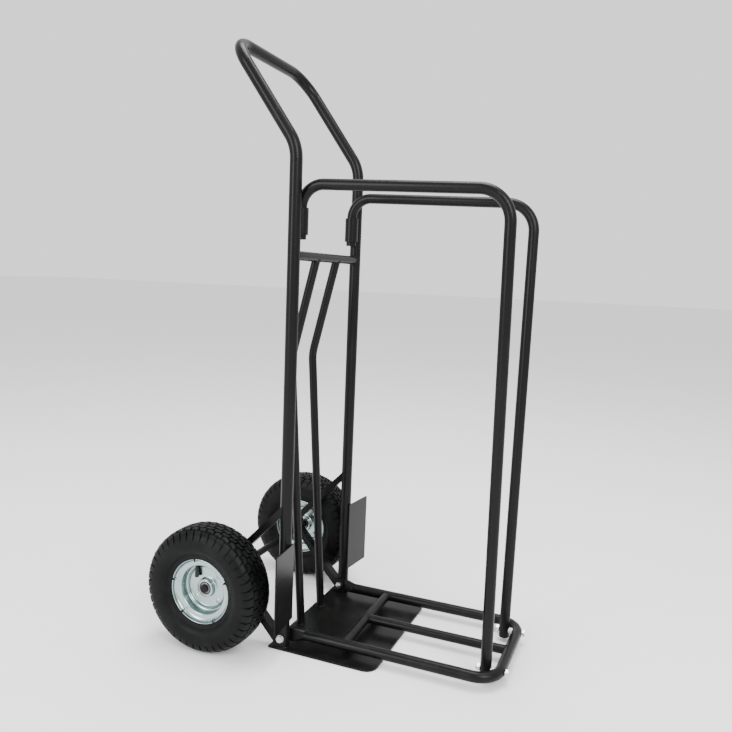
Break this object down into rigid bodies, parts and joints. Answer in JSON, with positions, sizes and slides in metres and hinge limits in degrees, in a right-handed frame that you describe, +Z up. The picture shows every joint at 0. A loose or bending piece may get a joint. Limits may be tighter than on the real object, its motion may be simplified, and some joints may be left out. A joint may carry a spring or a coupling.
{
  "type": "hand truck",
  "caption": "Tubular steel hand truck with a raked loop handle, a flat toe plate, a tube deck carried by side hoops, and pneumatic wheels.",
  "frame": {"origin": "under the toe plate at floor level, midway between the axes of the two uprights, in the plane of the frame", "axes": "+Z up along the uprights, -Y towards the toe plate and the deck (the load side), +X across the truck along the axle"},
  "size_m": [0.521, 0.7253, 1.2321],
  "materials": {
    "black_coat": "gloss powder coat",
    "tyre": "dull moulded rubber",
    "rubber_parts": "matt rubber",
    "bearing_seals": "matt rubber",
    "zinc_rim": "bright zinc plate",
    "zinc_bolts": "bright zinc plate",
    "bearing_steel": "ground steel",
    "spring_steel": "blackened spring steel"
  },
  "bodies": {
    "frame": {"main_frame": "black_coat", "cross_bar": "black_coat", "back_rail_left": "black_coat", "back_rail_right": "black_coat", "toe_plate": "black_coat", "wheel_guard_left": "black_coat", "wheel_guard_right": "black_coat", "hoop_socket_left": "black_coat", "hoop_socket_right": "black_coat", "axle_brace_left": "black_coat", "axle_brace_right": "black_coat", "axle_lug_left": "black_coat", "axle_lug_right": "black_coat", "axle": "black_coat", "axle_sleeves": "black_coat", "bearing_spacers": "bearing_steel", "bearing_inner_rings": "bearing_steel", "axle_washers": "bearing_steel", "axle_clips": "spring_steel", "deck_frame": "black_coat", "deck_cross_tube": "black_coat", "deck_middle_tube": "black_coat", "side_hoop_left": "black_coat", "side_hoop_right": "black_coat", "hoop_bolts": "zinc_bolts", "hoop_spacers": "zinc_bolts", "hoop_nuts": "zinc_bolts", "deck_bolts": "zinc_bolts", "deck_washers": "zinc_bolts", "deck_nuts": "zinc_bolts"},
    "left_wheel": {"tyre_left": "tyre", "inner_tube_left": "rubber_parts", "rim_outer_left": "zinc_rim", "rim_inner_left": "zinc_rim", "rim_rivets_left": "zinc_rim", "bearing_outer_rings_left": "bearing_steel", "bearing_balls_left": "bearing_steel", "bearing_seals_left": "bearing_seals", "valve_stem_left": "rubber_parts", "valve_cap_left": "rubber_parts"},
    "right_wheel": {"tyre_right": "tyre", "inner_tube_right": "rubber_parts", "rim_outer_right": "zinc_rim", "rim_inner_right": "zinc_rim", "rim_rivets_right": "zinc_rim", "bearing_outer_rings_right": "bearing_steel", "bearing_balls_right": "bearing_steel", "bearing_seals_right": "bearing_seals", "valve_stem_right": "rubber_parts", "valve_cap_right": "rubber_parts"}
  },
  "joints": [
    {"name": "left_wheel_spin", "type": "hinge", "parent": "frame", "child": "left_wheel", "pos_m": [-0.218, 0.14, 0.13], "axis": [1, 0, 0], "continuous": true},
    {"name": "right_wheel_spin", "type": "hinge", "parent": "frame", "child": "right_wheel", "pos_m": [0.218, 0.14, 0.13], "axis": [1, 0, 0], "continuous": true}
  ]
}
